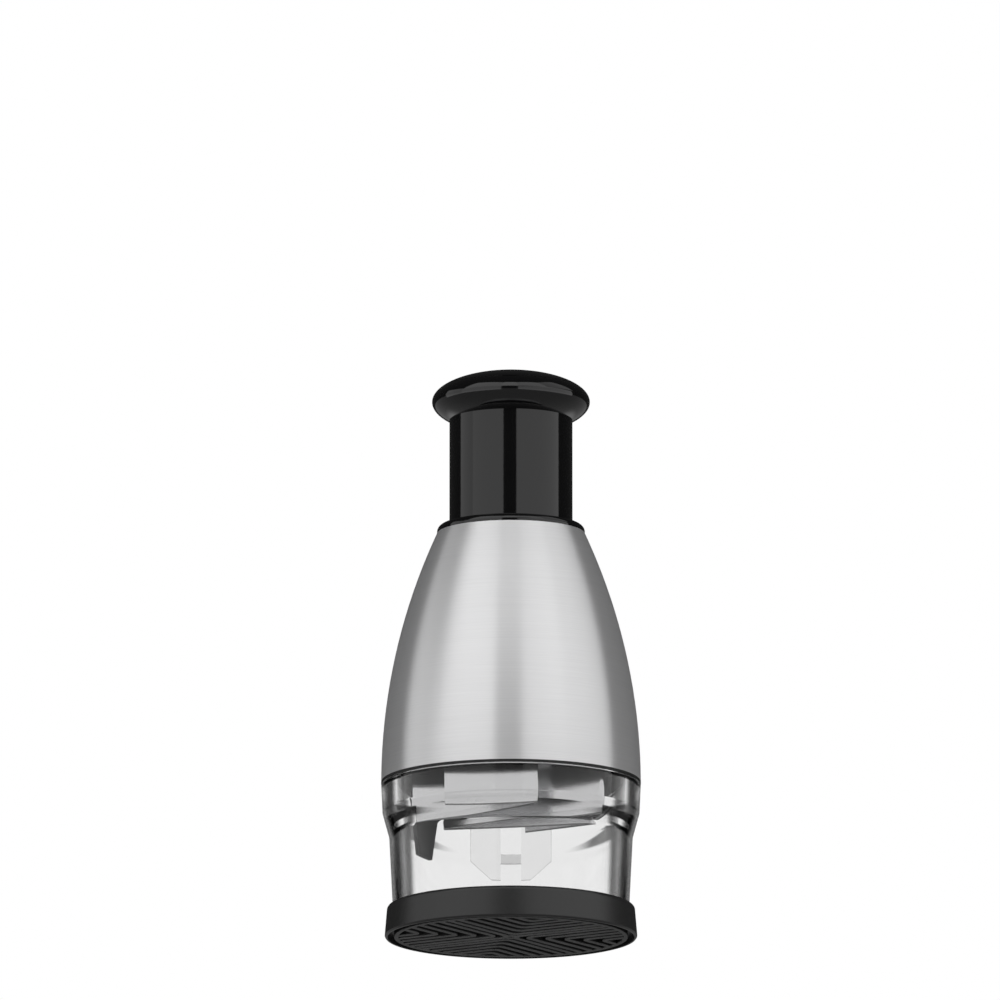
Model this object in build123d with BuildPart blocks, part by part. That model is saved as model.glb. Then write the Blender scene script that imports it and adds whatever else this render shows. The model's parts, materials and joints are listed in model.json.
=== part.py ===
from build123d import *
from math import acos, asin, atan, cos, degrees, pi, radians, sin, sqrt
import os

# Push-down food chopper: a base, a clear cup, a wiper, a steel bell, a plunger and a turning blade.
# Sizes are in millimetres. The origin is the middle of the underside, +Z is up and -Y is the front.
# All pieces stand put together, as on a table, with the plunger up.

os.makedirs("parts", exist_ok=True)

# Clearances
lift_gap = 0.3  # round pieces that lift out of each other
turn_gap = 0.3  # round the plate that turns in the wiper's ring
slide_gap = 0.3  # round the plunger's sleeve in its collar
fit_gap = 0.05  # round the spindle, the screws and the blade's top edge
bond_gap = 0.2  # glue line between the steel and its liner
stop_gap = 0.5  # left at each end of the stroke
hover_gap = 0.1  # between the blade's carrier and the wiper's plate when pressed
overrun = 1.0  # how far a cut runs past the face that it opens
near = 0.001  # how close an edge has to be to the place it is looked for

# Base
base_floor = 4.0  # level that the cup's foot stands on
base_rim_height = 7.2
board_rise = 5.0
base_wall = 2.0
base_draft = 0.9
base_roll = 0.4
base_roll_height = 0.6
base_edge_round = 1.5
foot_ring_width = 0.6

# Tread under the base
tread_thickness = 2.4
tread_skin = 0.8
tread_moat = 2.4
tread_rim = 1.4
tread_turn = 12.0
ridge_width = 1.6
ridge_pitch = 6.9
ridge_start = 6.5
ridge_count = 5
ridge_tip_round = 2.6
tread_eye_radius = 3.0
tread_sides = 4

# Cup
neck_radius = 42.0  # drives the bell, the wiper and the blade
neck_wall = 1.4
neck_height = 5.6
neck_window = 26.2
neck_turn = 7.8
ledge_step = 0.7
ledge_rise = 2.4
foot_wall = 2.6
waist_wall = 3.3
waist_height = 32.0
ledge_height = 39.6
band_height = 40.7
shoulder_height = 51.2
band_inset = 0.5
waist_round = 8.0
band_round = 3.0
shoulder_round = 0.9

# Keyway pads on the cup's far wall
pad_width = 30.0
pad_foot_width = 14.4
pad_channel = 7.7
pad_drop = 12.4
pad_shoulder_drop = 6.8
pad_top_gap = 7.0
pad_bar_drop = 4.1
pad_bar_height = 3.0

# Wiper ring
ring_height = 15.8
ring_wall = 1.5
ring_draft = 0.4
lip_height = 1.2
lip_overhang = 0.2
lip_reach = 0.4
lip_round = 0.3
flange_reach = 1.3
flange_thickness = 1.2

# Wiper plate and its tongue
plate_drop = 0.8
plate_thickness = 2.0
plate_rim_thickness = 1.2
plate_wall = 1.5
slot_gap = 1.2
tongue_length = 26.0
tongue_root_width = 23.0
tongue_tip_width = 9.7
tongue_angle = 150.0

# Bell of sheet steel on a moulded liner
steel_sheet = 0.7
skirt_wall = 2.6
skirt_gap = 0.6
liner_foot = 0.8
liner_land = 1.8
liner_lead = 4.0
liner_wall = 1.8
liner_top_gap = 0.6
web_thickness = 2.0
guide_height = 7.5

# Collar round the plunger
collar_width = 4.1
collar_height = 2.9
collar_round = 2.3
collar_skirt_wall = 1.8
collar_skirt_height = 7.1
guide_length = 8.1

# Plunger and knob
sleeve_radius = 21.9
sleeve_wall = 2.4
knob_overhang = 6.2
knob_half_height = 10.5
knob_clear = 3.3
crown_drop = 2.9
crown_thickness = 2.5
boss_radius = 7.0
boss_height = 1.5
crest_angle = 60.0  # where the knob's oval side runs into its round crest
cap_split = 4.6
cap_reveal = 0.3
cap_seat_wall = 1.3
cap_wall = 2.5
spigot_wall = 1.8

# Spindle, its bush and its screws
spindle_radius = 4.0
journal_radius = 3.0
journal_play = 0.1
bush_wall = 2.4
bush_flange = 2.0
bush_flange_thickness = 1.2
tower_wall = 2.5
tower_height = 9.5
washer_radius = 6.5
washer_thickness = 1.0
screw_shank_radius = 1.7
screw_shank_length = 8.0
screw_head_radius = 3.4
screw_head_height = 2.4
screw_tip_gap = 1.0

# Face ratchet that turns the blade
index_teeth = 12
index_tooth_height = 1.0
index_tooth_width = 3.4
index_gap = 0.4
follower_thickness = 2.3
crown_ring_thickness = 2.0
crown_width_share = 0.4  # of the follower's radius
tooth_inset = 0.5
pocket_gap = 1.5
hub_wall = 2.2
hub_roof = 2.5

# Return spring, its seat and the rubber stop
spring_wire_radius = 0.9
spring_clear = 2.1  # inside the sleeve
spring_gap = 0.4  # round the hub
spring_end_gap = 0.05
spring_turns = 9
seat_thickness = 0.6
seat_margin = 0.9
bumper_thickness = 1.2
bumper_width = 5.0
bumper_inset = 1.0

# Blade and its carrier
blade_show = 10.7  # how far the cutting edge hangs below the bell's rim
blade_sheet = 0.8
blade_edge = 0.2
blade_bevel = 2.5
blade_flat = 2.2
blade_gap = 1.3
blade_turn = -18.0
carrier_margin = 1.0
carrier_thickness = 3.0
blade_pocket = 2.0
carrier_clear = 3.5

# Bends of the folded blade, as shares of its reach from the middle
blade_shares = (
    (-0.39, -0.87),
    (0.49, -0.71),
    (-0.92, -0.29),
    (0.96, -0.06),
    (-0.87, 0.43),
    (0.68, 0.68),
    (-0.11, 0.82),
)

# Radii of the bell and the wiper, from the cup's neck
liner_bore = neck_radius + skirt_gap
rim_radius = liner_bore + skirt_wall + bond_gap + steel_sheet
lip_radius = neck_radius + lip_overhang
ring_radius = lip_radius - lip_reach
ring_foot_radius = ring_radius - ring_draft
ring_bore = ring_foot_radius - ring_wall
flange_bore = ring_bore - flange_reach
plate_radius = ring_bore - turn_gap
pilot_radius = flange_bore - turn_gap
well_radius = pilot_radius - plate_wall
blade_reach = well_radius - blade_gap

# Radii of the cup and the base, from the blade's reach
foot_bore = blade_reach + carrier_clear
cup_foot_radius = foot_bore + foot_wall
neck_bore = neck_radius - neck_wall
ledge_bore = neck_bore - ledge_step
waist_radius = ledge_bore + waist_wall
band_radius = rim_radius - band_inset
groove_radius = cup_foot_radius + lift_gap
groove_mouth = groove_radius + (waist_radius - cup_foot_radius) * base_rim_height / waist_height
board_radius = foot_bore - lift_gap
base_top_radius = groove_radius + base_wall
base_radius = base_top_radius + base_draft
base_foot_radius = base_radius - base_roll
tread_pocket = base_foot_radius - foot_ring_width
tread_radius = tread_pocket - tread_moat

# Levels, from the table up
base_height = base_floor + base_rim_height
board_top = base_floor + board_rise
waist_level = base_floor + waist_height
ledge_level = base_floor + ledge_height
band_level = base_floor + band_height
rim_level = base_floor + shoulder_height
neck_top = rim_level + neck_height
ring_top = neck_top + ring_height
flange_top = neck_top + flange_thickness
plate_bottom = neck_top - plate_drop
plate_top = flange_top + plate_rim_thickness
edge_level = rim_level - blade_show
stroke = edge_level - board_top - stop_gap
carrier_bottom = plate_top + stroke + hover_gap
carrier_top = carrier_bottom + carrier_thickness
web_bottom = carrier_top + stop_gap + bumper_thickness
web_top = web_bottom + web_thickness
sleeve_bottom = web_top + stop_gap + stroke
collar_top = sleeve_bottom + guide_length
shell_bottom = rim_level + liner_foot
shell_top = collar_top - collar_height
liner_top = shell_top - liner_top_gap
guide_bottom = liner_top - guide_height

# Knob, from the sleeve that carries it
knob_radius = sleeve_radius + knob_overhang
sleeve_bore = sleeve_radius - sleeve_wall
knob_join = collar_top + stroke + knob_clear
knob_join_angle = degrees(acos(sleeve_radius / knob_radius))
knob_centre = knob_join + knob_half_height * sqrt(1 - (sleeve_radius / knob_radius) ** 2)
split_level = knob_centre + cap_split
split_angle = degrees(asin(cap_split / knob_half_height))
lid_angle = degrees(asin((cap_split + cap_reveal) / knob_half_height))
cap_seat = knob_radius * sqrt(1 - (cap_split / knob_half_height) ** 2) - cap_seat_wall
spigot_bore = cap_seat - fit_gap - spigot_wall
crest_slope = knob_half_height * cos(radians(crest_angle)) / (knob_radius * sin(radians(crest_angle)))
crest_sweep = degrees(atan(crest_slope))
crest_radius = knob_radius * cos(radians(crest_angle)) / sin(radians(crest_sweep))
crest_level = knob_centre + knob_half_height * sin(radians(crest_angle))
knob_top = crest_level + crest_radius * (1 - cos(radians(crest_sweep)))
crown_bottom = knob_join - crown_drop
crown_top = crown_bottom + crown_thickness
boss_top = crown_top + boss_height
journal_top = boss_top + journal_play

# Collar and bell, whose side is one arc that starts upright at the rim
collar_bore = sleeve_radius + slide_gap
collar_skirt_radius = collar_bore + collar_skirt_wall
shell_top_radius = collar_bore + collar_width
guide_bore = collar_skirt_radius + fit_gap
bell_height = shell_top - rim_level
bell_taper = rim_radius - shell_top_radius
bell_arc = (bell_height**2 + bell_taper**2) / (2 * bell_taper)
bell_centre = rim_radius - bell_arc
liner_face = steel_sheet + bond_gap
liner_back = liner_face + liner_wall
liner_turn = rim_level + sqrt((bell_arc - liner_back) ** 2 - (liner_bore - bell_centre) ** 2)

# Spring inside the sleeve, hub inside the spring and ratchet inside the hub
spring_radius = sleeve_bore - spring_clear - spring_wire_radius
hub_radius = spring_radius - spring_wire_radius - spring_gap
pocket_radius = hub_radius - hub_wall
follower_radius = pocket_radius - pocket_gap
crown_ring_width = follower_radius * crown_width_share

# Hub in the liner's web, with the ratchet's pocket below and the spindle's bush on top
pocket_ceiling = carrier_top + follower_thickness + 2 * index_tooth_height + index_gap + crown_ring_thickness
hub_top = pocket_ceiling + hub_roof
bush_bore = spindle_radius + fit_gap
bush_radius = bush_bore + bush_wall
bush_seat = bush_radius + fit_gap
tower_radius = bush_seat + tower_wall
tower_top = hub_top + tower_height
seat_radius = spring_radius + spring_wire_radius + seat_margin
seat_bore = hub_radius + fit_gap
seat_top = web_top + seat_thickness
bumper_bore = pocket_radius + bumper_inset


def bell_radius(inset, level):
    """Radius of the bell's side at a level, inset from its outer face."""
    return bell_centre + sqrt((bell_arc - inset) ** 2 - (level - rim_level) ** 2)


def bell_side(inset, start, end):
    """Arc of the bell's side from one level to another, inset from its outer face."""
    levels = (start, (start + end) / 2, end)
    return ThreePointArc(*[(bell_radius(inset, level), level) for level in levels])


def ring_edges(piece, radius, level):
    """Round edges of a piece with this radius at this level."""
    round_edges = piece.edges().filter_by(GeomType.CIRCLE)
    sized_edges = round_edges.filter_by(lambda edge: abs(edge.radius - radius) < near)
    return sized_edges.filter_by(lambda edge: abs(edge.arc_center.Z - level) < near)


def blade_route():
    """Middle line of the folded strip: each inner bend is a short flat across the turn."""
    turn = Rotation(0, 0, blade_turn)
    bends = [Vector(x, y) * blade_reach for x, y in blade_shares]
    route = [bends[0]]
    for before, bend, after in zip(bends, bends[1:], bends[2:]):
        half_flat = (after - before).normalized() * (blade_flat / 2)
        route += [bend - half_flat, bend + half_flat]
    route.append(bends[-1])
    return [Vector(*(turn * Location(point)).position) for point in route]


def coil_path(radius, low, high, turns):
    """Points and tangents at each half turn of a coil that climbs evenly."""
    climb = (high - low) / turns
    stations = []
    for half_turn in range(2 * turns + 1):
        angle = pi * half_turn
        point = Vector(radius * cos(angle), radius * sin(angle), low + climb * half_turn / 2)
        heading = Vector(-sin(angle), cos(angle), climb / (2 * pi * radius)).normalized()
        stations.append((point, heading))
    return stations


def biarc(start, start_heading, end, end_heading):
    """Two arcs from start to end that keep both headings and meet smoothly."""
    chord = end - start
    heading_sum = start_heading + end_heading
    bend = 2 * (1 - start_heading.dot(end_heading))
    along = chord.dot(heading_sum)
    reach = (sqrt(along**2 + bend * chord.dot(chord)) - along) / bend
    start_arm = start + start_heading * reach
    end_arm = end - end_heading * reach
    middle = (start_arm + end_arm) / 2
    TangentArc(start, middle, tangent=start_heading)
    TangentArc(middle, end, tangent=(end_arm - start_arm).normalized())


# Base: a low tray with the chopping board raised in the middle of it
with BuildPart() as base_body:
    with BuildSketch(Plane.XZ):
        with BuildLine():
            Polyline(
                (0, tread_thickness),
                (tread_pocket, tread_thickness),
                (tread_pocket, 0),
                (base_foot_radius, 0),
                (base_radius, base_roll_height),
                (base_top_radius, base_height),
                (groove_mouth, base_height),
                (groove_radius, base_floor),
                (board_radius, base_floor),
                (board_radius, board_top),
                (0, board_top),
                close=True,
            )
        make_face()
    revolve(axis=Axis.Z)
    fillet(ring_edges(base_body, base_top_radius, base_height), base_edge_round)
    fillet(ring_edges(base_body, base_radius, base_roll_height), base_roll)
base_body.part.label = "base_body"
export_step(base_body.part, "parts/base_body.step")

# One chevron ridge of the tread, with its round tip at the sketch's origin and its arms opening along +X
tip_setback = ridge_tip_round * (sqrt(2) - 1)
with BuildSketch() as chevron:
    with BuildLine():
        FilletPolyline(
            (tread_radius, tread_radius + tip_setback),
            (-tip_setback, 0),
            (tread_radius, -tread_radius - tip_setback),
            radius=ridge_tip_round,
        )
    trace(line_width=ridge_width)

# Tread: a rubber pad with a rim, chevron ridges on four sides, two diagonal ridges and an eye
with BuildPart() as tread_pad:
    with BuildSketch(Plane.XY.offset(tread_thickness)):
        Circle(tread_radius)
    extrude(amount=-tread_skin)
    with BuildSketch(Plane.XY):
        for index in range(ridge_count):
            with PolarLocations(ridge_start + index * ridge_pitch, tread_sides, tread_turn):
                add(chevron.sketch)
        for angle in (45, -45):
            Rectangle(2 * tread_radius, ridge_width, rotation=tread_turn + angle)
        Circle(tread_eye_radius)
        Circle(tread_eye_radius - ridge_width, mode=Mode.SUBTRACT)
        Circle(tread_radius - tread_rim / 2, mode=Mode.INTERSECT)
    extrude(amount=tread_thickness - tread_skin)
    with BuildSketch(Plane.XY):
        Circle(tread_radius)
        Circle(tread_radius - tread_rim, mode=Mode.SUBTRACT)
    extrude(amount=tread_thickness - tread_skin)
tread_pad.part.label = "tread_pad"
export_step(tread_pad.part, "parts/tread_pad.step")

# Keyway: two raised pads, on the far wall inside the cup, with a channel and a bar between them
with BuildPart() as keyway:
    with BuildSketch(Plane.XZ):
        with BuildLine():
            Polyline(
                (pad_channel / 2, neck_top - pad_top_gap),
                (pad_width / 2, neck_top - pad_top_gap),
                (pad_width / 2, ledge_level - pad_shoulder_drop),
                (pad_foot_width / 2, ledge_level - pad_drop),
                (pad_channel / 2, ledge_level - pad_drop),
                close=True,
            )
        make_face()
        mirror(about=Plane.YZ)
        with Locations((0, ledge_level - pad_bar_drop)):
            Rectangle(pad_foot_width, pad_bar_height, align=(Align.CENTER, Align.MAX))
    extrude(amount=-neck_radius)
    with BuildSketch(Plane.XY):
        Circle(neck_bore + neck_wall / 2)
        Circle(pilot_radius + turn_gap, mode=Mode.SUBTRACT)
    extrude(amount=neck_top, mode=Mode.INTERSECT)

# Cup: a clear open sleeve with a thick band, a sloped ledge and a neck cut away left and right
with BuildPart() as cup:
    with BuildSketch(Plane.XZ):
        with BuildLine():
            Polyline(
                (foot_bore, base_floor),
                (cup_foot_radius, base_floor),
                (waist_radius, waist_level),
                (band_radius, band_level),
                (rim_radius, rim_level),
                (neck_radius, rim_level),
                (neck_radius, neck_top),
                (neck_bore, neck_top),
                (neck_bore, ledge_level + ledge_rise),
                (ledge_bore, ledge_level),
                close=True,
            )
        make_face()
    revolve(axis=Axis.Z)
    fillet(ring_edges(cup, waist_radius, waist_level), waist_round)
    fillet(ring_edges(cup, band_radius, band_level), band_round)
    fillet(ring_edges(cup, rim_radius, rim_level), shoulder_round)
    with BuildSketch(Plane.XY.offset(rim_level)):
        Rectangle(2 * (neck_radius + overrun), neck_window, rotation=neck_turn)
    extrude(amount=neck_height + overrun, mode=Mode.SUBTRACT)
    add(keyway.part)
cup.part.label = "cup"
export_step(cup.part, "parts/cup.step")

# Wiper ring: it stands on the cup's neck and carries the turning plate on an inner flange
with BuildPart() as wiper_ring:
    with BuildSketch(Plane.XZ):
        with BuildLine():
            Polyline(
                (flange_bore, neck_top),
                (ring_foot_radius, neck_top),
                (ring_radius, ring_top - lip_height),
                (lip_radius, ring_top - lip_height),
                (lip_radius, ring_top),
                (ring_bore, ring_top),
                (ring_bore, flange_top),
                (flange_bore, flange_top),
                close=True,
            )
        make_face()
    revolve(axis=Axis.Z)
    fillet(ring_edges(wiper_ring, lip_radius, ring_top), lip_round)
    fillet(ring_edges(wiper_ring, lip_radius, ring_top - lip_height), lip_round)
    fillet(ring_edges(wiper_ring, ring_foot_radius, neck_top), lip_round)
wiper_ring.part.label = "wiper_ring"
export_step(wiper_ring.part, "parts/wiper_ring.step")

# Tongue that wipes the cup's wall: a tapered strip bent round with the plate
radial = Vector(1, 0, 0).rotate(Axis.Z, tongue_angle)
with BuildPart() as tongue:
    with BuildSketch(Plane(origin=(0, 0, plate_bottom), x_dir=radial.rotate(Axis.Z, 90), z_dir=radial)):
        with BuildLine():
            Polyline(
                (-tongue_tip_width / 2, -tongue_length),
                (tongue_tip_width / 2, -tongue_length),
                (tongue_root_width / 2, 0),
                (tongue_root_width / 2, plate_thickness / 2),
                (-tongue_root_width / 2, plate_thickness / 2),
                (-tongue_root_width / 2, 0),
                close=True,
            )
        make_face()
    extrude(amount=pilot_radius + overrun)
    with BuildSketch(Plane.XY.offset(plate_bottom - tongue_length)):
        Circle(pilot_radius)
        Circle(well_radius, mode=Mode.SUBTRACT)
    extrude(amount=tongue_length + plate_thickness, mode=Mode.INTERSECT)

# Wiper plate: slotted for the blade, which turns it
with BuildPart() as wiper_plate:
    with BuildSketch(Plane.XZ):
        with BuildLine():
            Polyline(
                (0, plate_bottom),
                (pilot_radius, plate_bottom),
                (pilot_radius, flange_top),
                (plate_radius, flange_top),
                (plate_radius, plate_top),
                (well_radius, plate_top),
                (well_radius, plate_bottom + plate_thickness),
                (0, plate_bottom + plate_thickness),
                close=True,
            )
        make_face()
    revolve(axis=Axis.Z)
    with BuildSketch(Plane.XY.offset(plate_bottom - overrun)):
        with BuildLine():
            Polyline(*blade_route())
        trace(line_width=blade_sheet + 2 * slot_gap)
    extrude(amount=plate_thickness + 2 * overrun, mode=Mode.SUBTRACT)
    add(tongue.part)
wiper_plate.part.label = "wiper_plate"
export_step(wiper_plate.part, "parts/wiper_plate.step")

# Steel shell: the bell's brushed skin
with BuildPart() as steel_shell:
    with BuildSketch(Plane.XZ):
        with BuildLine():
            outer_side = bell_side(0, shell_bottom, shell_top)
            inner_side = bell_side(steel_sheet, shell_bottom, shell_top)
            Line(outer_side @ 0, inner_side @ 0)
            Line(outer_side @ 1, inner_side @ 1)
        make_face()
    revolve(axis=Axis.Z)
steel_shell.part.label = "steel_shell"
export_step(steel_shell.part, "parts/steel_shell.step")

# Liner: the moulding under the steel, with a web, a hub for the spindle and a ring for the collar
with BuildPart() as liner:
    with BuildSketch(Plane.XZ):
        with BuildLine():
            Polyline(
                (liner_bore, rim_level + liner_lead),
                (rim_radius - liner_land, rim_level),
                (rim_radius, rim_level),
                (rim_radius, shell_bottom),
                (bell_radius(liner_face, shell_bottom), shell_bottom),
            )
            bell_side(liner_face, shell_bottom, liner_top)
            Polyline(
                (bell_radius(liner_face, liner_top), liner_top),
                (guide_bore, liner_top),
                (guide_bore, guide_bottom),
                (bell_radius(liner_back, guide_bottom), guide_bottom),
            )
            bell_side(liner_back, guide_bottom, web_top)
            Polyline(
                (bell_radius(liner_back, web_top), web_top),
                (hub_radius, web_top),
                (hub_radius, hub_top),
                (tower_radius, hub_top),
                (tower_radius, tower_top),
                (bush_seat, tower_top),
                (bush_seat, pocket_ceiling),
                (pocket_radius, pocket_ceiling),
                (pocket_radius, web_bottom),
                (bell_radius(liner_back, web_bottom), web_bottom),
            )
            bell_side(liner_back, web_bottom, liner_turn)
            Line((bell_radius(liner_back, liner_turn), liner_turn), (liner_bore, rim_level + liner_lead))
        make_face()
    revolve(axis=Axis.Z)
liner.part.label = "liner"
export_step(liner.part, "parts/liner.step")

# Collar: guides the plunger's sleeve and closes the bell's top
with BuildPart() as top_collar:
    with BuildSketch(Plane.XZ):
        with BuildLine():
            Polyline(
                (collar_bore, shell_top - collar_skirt_height),
                (collar_skirt_radius, shell_top - collar_skirt_height),
                (collar_skirt_radius, shell_top),
                (shell_top_radius, shell_top),
                (shell_top_radius, collar_top),
                (collar_bore, collar_top),
                close=True,
            )
        make_face()
    revolve(axis=Axis.Z)
    fillet(ring_edges(top_collar, shell_top_radius, collar_top), collar_round)
top_collar.part.label = "top_collar"
export_step(top_collar.part, "parts/top_collar.step")

# Plunger: the sleeve, its crown plate for the spindle and the lower half of the mushroom knob
with BuildPart() as plunger_sleeve:
    with BuildSketch(Plane.XZ):
        with BuildLine():
            brim = EllipticalCenterArc(
                (0, knob_centre),
                knob_radius,
                knob_half_height,
                -knob_join_angle,
                arc_size=knob_join_angle + split_angle,
            )
            Polyline(
                brim @ 1,
                (cap_seat, split_level),
                (cap_seat, knob_centre),
                (sleeve_bore, knob_centre),
                (sleeve_bore, crown_top),
                (boss_radius, crown_top),
                (boss_radius, boss_top),
                (journal_radius + fit_gap, boss_top),
                (journal_radius + fit_gap, crown_bottom),
                (sleeve_bore, crown_bottom),
                (sleeve_bore, sleeve_bottom),
                (sleeve_radius, sleeve_bottom),
                brim @ 0,
            )
        make_face()
    revolve(axis=Axis.Z)
plunger_sleeve.part.label = "plunger_sleeve"
export_step(plunger_sleeve.part, "parts/plunger_sleeve.step")

# Knob cap: the domed lid of the knob, on a spigot
ceiling_sweep = degrees(asin(spigot_bore / (crest_radius - cap_wall)))
with BuildPart() as knob_cap:
    with BuildSketch(Plane.XZ):
        with BuildLine():
            dome = EllipticalCenterArc(
                (0, knob_centre),
                knob_radius,
                knob_half_height,
                lid_angle,
                arc_size=crest_angle - lid_angle,
            )
            crest = JernArc((0, knob_top), (1, 0), crest_radius, -crest_sweep)
            ceiling = JernArc((0, knob_top - cap_wall), (1, 0), crest_radius - cap_wall, -ceiling_sweep)
            Polyline(
                dome @ 0,
                (cap_seat - fit_gap, split_level + cap_reveal),
                (cap_seat - fit_gap, knob_centre),
                (spigot_bore, knob_centre),
                ceiling @ 1,
            )
            Line(ceiling @ 0, crest @ 0)
        make_face()
    revolve(axis=Axis.Z)
knob_cap.part.label = "knob_cap"
export_step(knob_cap.part, "parts/knob_cap.step")

# Spindle: hangs in the plunger's crown by its journal and carries the blade below
with BuildPart() as spindle:
    with BuildSketch(Plane.XY.offset(carrier_top)):
        Circle(spindle_radius)
    extrude(amount=crown_bottom - carrier_top)
    with BuildSketch(Plane.XY.offset(crown_bottom)):
        Circle(journal_radius)
    extrude(amount=journal_top - crown_bottom)
    with BuildSketch(Plane.XY.offset(carrier_top)) as lower_hole:
        Circle(screw_shank_radius + fit_gap)
    extrude(lower_hole.sketch, amount=screw_shank_length + screw_tip_gap, mode=Mode.SUBTRACT)
    with BuildSketch(Plane.XY.offset(journal_top)) as upper_hole:
        Circle(screw_shank_radius + fit_gap)
    extrude(upper_hole.sketch, amount=-screw_shank_length - screw_tip_gap, mode=Mode.SUBTRACT)
spindle.part.label = "spindle"
export_step(spindle.part, "parts/spindle.step")

# Bush: lines the hub's tower and hangs there by its flange
with BuildPart() as spindle_bush:
    with BuildSketch(Plane.XY.offset(pocket_ceiling)):
        Circle(bush_radius)
        Circle(bush_bore, mode=Mode.SUBTRACT)
    extrude(amount=tower_top - pocket_ceiling)
    with BuildSketch(Plane.XY.offset(tower_top)):
        Circle(bush_radius + bush_flange)
        Circle(bush_bore, mode=Mode.SUBTRACT)
    extrude(amount=bush_flange_thickness)
spindle_bush.part.label = "spindle_bush"
export_step(spindle_bush.part, "parts/spindle_bush.step")

# Washer and screw that hold the spindle's journal in the crown
with BuildPart() as spindle_washer:
    with BuildSketch(Plane.XY.offset(journal_top)):
        Circle(washer_radius)
        Circle(screw_shank_radius + fit_gap, mode=Mode.SUBTRACT)
    extrude(amount=washer_thickness)
spindle_washer.part.label = "spindle_washer"
export_step(spindle_washer.part, "parts/spindle_washer.step")

screw_seat = journal_top + washer_thickness
screw_crown = screw_seat + screw_head_height
with BuildPart() as spindle_screw:
    with BuildSketch(Plane.XY.offset(screw_seat)):
        Circle(screw_head_radius)
    extrude(amount=screw_head_height)
    fillet(ring_edges(spindle_screw, screw_head_radius, screw_crown), screw_head_height / 2)
    with BuildSketch(Plane.XY.offset(screw_seat)) as shank:
        Circle(screw_shank_radius)
    extrude(shank.sketch, amount=-screw_shank_length - washer_thickness)
spindle_screw.part.label = "spindle_screw"
export_step(spindle_screw.part, "parts/spindle_screw.step")

# Return spring: a coil between its seat on the web and the plunger's crown
coil_low = seat_top + spring_wire_radius + spring_end_gap
coil_high = crown_bottom - spring_wire_radius - spring_end_gap
stations = coil_path(spring_radius, coil_low, coil_high, spring_turns)
with BuildPart() as return_spring:
    with BuildLine() as coil:
        for (start, start_heading), (end, end_heading) in zip(stations, stations[1:]):
            biarc(start, start_heading, end, end_heading)
    with BuildSketch(Plane(origin=coil.wire() @ 0, z_dir=coil.wire() % 0)):
        Circle(spring_wire_radius)
    sweep(path=coil.wire())
return_spring.part.label = "return_spring"
export_step(return_spring.part, "parts/return_spring.step")

# The coil's least gap to itself, between points one turn apart
samples_per_turn = 48
sample_count = samples_per_turn * spring_turns
coil_points = coil.wire().positions([n / sample_count for n in range(sample_count)])
turn_steps = range(samples_per_turn // 2, samples_per_turn * 3 // 2)
least_pitch = min(
    (coil_points[n + step] - coil_points[n]).length
    for n in range(len(coil_points) - max(turn_steps))
    for step in turn_steps
)
print("spring's least gap to itself", round(least_pitch - 2 * spring_wire_radius, 2))
print("stroke", round(stroke, 3), "blade reach", round(blade_reach, 3), "knob top", round(knob_top, 3))

# Spring seat: a flat steel washer on the web
with BuildPart() as spring_seat:
    with BuildSketch(Plane.XY.offset(web_top)):
        Circle(seat_radius)
        Circle(seat_bore, mode=Mode.SUBTRACT)
    extrude(amount=seat_thickness)
spring_seat.part.label = "spring_seat"
export_step(spring_seat.part, "parts/spring_seat.step")

# Rubber stop under the web, which ends the return stroke
with BuildPart() as stop_bumper:
    with BuildSketch(Plane.XY.offset(web_bottom)):
        Circle(bumper_bore + bumper_width)
        Circle(bumper_bore, mode=Mode.SUBTRACT)
    extrude(amount=-bumper_thickness)
stop_bumper.part.label = "stop_bumper"
export_step(stop_bumper.part, "parts/stop_bumper.step")

# One tooth of the ratchet: a ramp with an upright face, at the sketch's own level
tooth_bore = follower_radius - crown_ring_width + tooth_inset
with BuildPart() as tooth:
    with BuildSketch(Plane(origin=(tooth_bore, 0, 0), x_dir=(0, 1, 0), z_dir=(1, 0, 0))):
        with BuildLine():
            Polyline(
                (-index_tooth_width / 2, -index_tooth_height / 2),
                (index_tooth_width / 2, -index_tooth_height / 2),
                (index_tooth_width / 2, index_tooth_height),
                (-index_tooth_width / 2, 0),
                close=True,
            )
        make_face()
    extrude(amount=crown_ring_width - 2 * tooth_inset)

# Ratchet's lower half, on the blade's carrier
follower_top = carrier_top + follower_thickness
with BuildPart() as index_follower:
    with BuildSketch(Plane.XY.offset(carrier_top)):
        Circle(follower_radius)
        Circle(spindle_radius + fit_gap, mode=Mode.SUBTRACT)
    extrude(amount=follower_thickness)
    with PolarLocations(0, index_teeth):
        add(tooth.part.moved(Location((0, 0, follower_top))))
index_follower.part.label = "index_follower"
export_step(index_follower.part, "parts/index_follower.step")

# Ratchet's upper half, under the pocket's ceiling, with its teeth turned down
crown_ring_bottom = pocket_ceiling - crown_ring_thickness
with BuildPart() as index_crown:
    with BuildSketch(Plane.XY.offset(crown_ring_bottom)):
        Circle(follower_radius)
        Circle(follower_radius - crown_ring_width, mode=Mode.SUBTRACT)
    extrude(amount=crown_ring_thickness)
    with PolarLocations(0, index_teeth):
        add(tooth.part.rotate(Axis.X, 180).moved(Location((0, 0, crown_ring_bottom))))
index_crown.part.label = "index_crown"
export_step(index_crown.part, "parts/index_crown.step")

# Blade: a folded steel strip with a bevelled lower edge
blade_top = carrier_bottom + blade_pocket
bevel_angle = degrees(atan((blade_sheet - blade_edge) / 2 / blade_bevel))
with BuildPart() as zigzag_blade:
    with BuildSketch(Plane.XY.offset(edge_level + blade_bevel)) as strip:
        with BuildLine():
            Polyline(*blade_route())
        trace(line_width=blade_sheet)
    extrude(strip.sketch, amount=blade_top - edge_level - blade_bevel)
    extrude(strip.sketch, amount=-blade_bevel, taper=bevel_angle)
zigzag_blade.part.label = "zigzag_blade"
export_step(zigzag_blade.part, "parts/zigzag_blade.step")

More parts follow.
